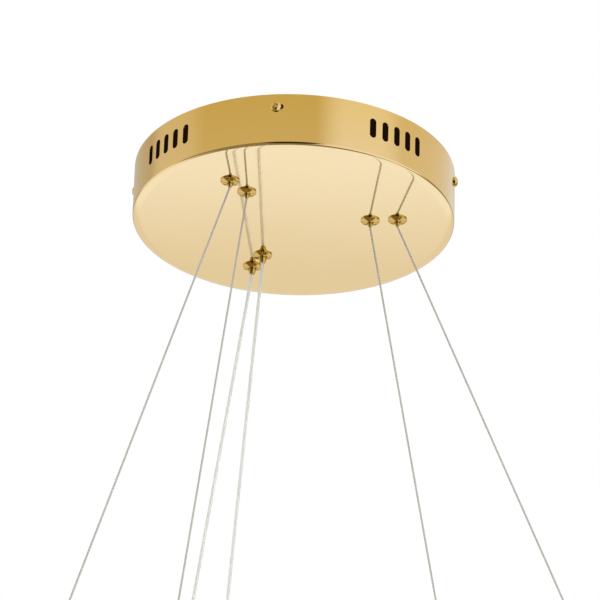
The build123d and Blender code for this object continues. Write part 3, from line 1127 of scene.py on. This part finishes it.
def twistedOffset(phase):
    # a helix of the core's lay about the run, started at the phase
    def offsetOf(distance):
        # the two steps off the run's middle, by the angle turned so far
        turned = 2 * math.pi * distance / line["coreLay"] + phase
        return line["coreOffset"] * np.cos(turned), line["coreOffset"] * np.sin(turned)

    return offsetOf


def rowCount(start, end, lay, rowsPerLay):
    # how many rows a twisted run needs: its number of lays times the rows of one lay, and one more
    return int(np.linalg.norm(end - start) / lay * rowsPerLay) + 1


def ropeRun(start, end):
    # a stranded rope: the strands' outline carried along the run
    outline = strandOutline(gripSize["rope"]["cord"], line["ropeLay"])
    rows = rowCount(start, end, line["ropeLay"], line["ropeRowsPerLay"])
    return tube(start, end, outline, line["ropeColumns"], rows)


def coreRun(start, end):
    # two tinned conductors twisted together: round tubes on opposite sides of one helix
    outline = roundOutline(line["coreRadius"])
    rows = rowCount(start, end, line["coreLay"], line["coreRowsPerLay"])
    grids = []
    for phase in (0.0, math.pi):
        grids += tube(start, end, outline, line["coreColumns"], rows, twistedOffset(phase))
    return grids


def sheathRun(start, end):
    # a smooth round sheath: one radius carried along the run
    outline = roundOutline(gripSize["cable"]["cord"])
    return tube(start, end, outline, line["sheathColumns"], line["sheathRows"])


lineLook = {
    "rope": {"run": ropeRun, "material": finish["ropeSteel"], "slot": "steel_rope"},
    "cable": {"run": sheathRun, "material": finish["clearSheath"], "slot": "clear_cable"},
}


def lineStop(kind):
    # the crimped sleeve on a line's upper end
    radius, length = gripSize[kind]["cord"] + line["stopWall"], line["stopLength"]
    outline = [(0, 0), (radius, 0), (radius, length), (0, length)]
    return lathe(softened(outline, line["stopBevel"]), line["stopColumns"])


def makeLines():
    # a run hangs from its grip's tip to its ring's stud, drawn once; the real one shortens as its ring goes
    # up; a tail stays in the grip
    for size in gripCircle:
        for direction, kind in lineKind.items():
            node = f"{size}_{kind}_{direction}"
            name = f"{size}{kind.title()}{direction.title()}"
            look, slot = lineLook[kind], lineLook[kind]["slot"]
            top = gripPlace(size, direction) - [0, 0, grip["flangeDepth"] + gripSize[kind]["reach"]]
            bottom = studPlace(size, direction) + [0, 0, studSize[kind]["reach"]]
            runs = [makePiece(name, look["run"](top, bottom), look["material"], "canopy", [node])]
            if kind == "cable":
                core = coreRun(top, bottom)
                runs.append(makePiece(name + "Core", core, finish["tinnedWire"], "canopy"))
            for run in runs:
                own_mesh(run)
            stopFoot = gripPlace(size, direction) + [0, 0, grip["barrelLength"]]
            makePiece(name + "Tail", look["run"](top, stopFoot), look["material"], "canopy")
            stop = placed(lineStop(kind), stopFoot)
            makePiece(name + "Stop", [stop], finish["hardSteel"], "canopy")


makeLines()
print("suspension lines made")


# the nodes inside the canopy and rings keep their CAD shape
insideFinish = {
    "ceiling_bracket": "blackSteel",
    "grip_nuts": "zincSteel",
    "earth_screw": "screwBrass",
    "large_driver": "whiteCase",
    "small_driver": "whiteCase",
    "driver_pads": "foam",
    "terminal_block": "terminalNylon",
    "large_led_strip": "litStrip",
    "small_led_strip": "litStrip",
}
gripInsideFinish = "hardSteel"


def finishInside():
    # gives each hidden node its material, the springs and jaws of the six grips among them
    looks = dict(insideFinish)
    for size in gripCircle:
        for direction in lineKind:
            looks[f"{size}_spring_{direction}"] = gripInsideFinish
            looks[f"{size}_jaws_{direction}"] = gripInsideFinish
    for node, look in looks.items():
        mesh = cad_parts[node].data
        mesh.materials.clear()
        mesh.materials.append(finish[look])


finishInside()
print("inside pieces finished")
